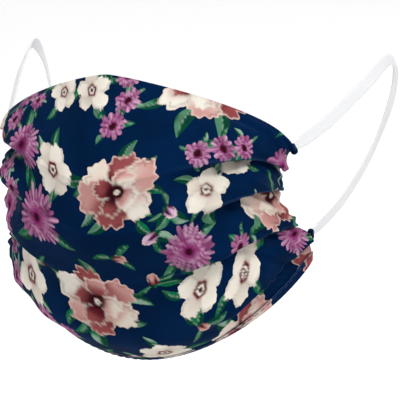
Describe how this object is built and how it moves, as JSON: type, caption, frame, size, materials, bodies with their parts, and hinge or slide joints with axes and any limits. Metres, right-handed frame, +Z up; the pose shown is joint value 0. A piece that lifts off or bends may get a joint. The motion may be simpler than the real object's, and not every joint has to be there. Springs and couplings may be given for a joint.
{
  "type": "cloth face mask",
  "caption": "Pleated cloth face mask held open as worn, with a hollow cup, folded side pleats, a hemmed lower edge and a flat elastic ear loop on each side.",
  "frame": {"origin": "middle of the cup's upper edge, where the cloth rests on the bridge of the nose", "axes": "+Z up, -Y out of the front of the mask, +X towards the wearer's left"},
  "size_m": [0.161, 0.1279, 0.1148],
  "materials": {
    "printed_cloth": "soft woven cloth with a floral print on navy",
    "hem_cloth": "the same woven cloth, turned and stitched",
    "elastic": "flat knitted white elastic"
  },
  "bodies": {
    "root": {"mask_body": "printed_cloth", "hem_strip": "hem_cloth", "ear_loop_left": "elastic", "ear_loop_right": "elastic", "corner_tab_left_upper": "hem_cloth", "corner_tab_left_lower": "hem_cloth", "corner_tab_right_upper": "hem_cloth", "corner_tab_right_lower": "hem_cloth"}
  },
  "joints": []
}
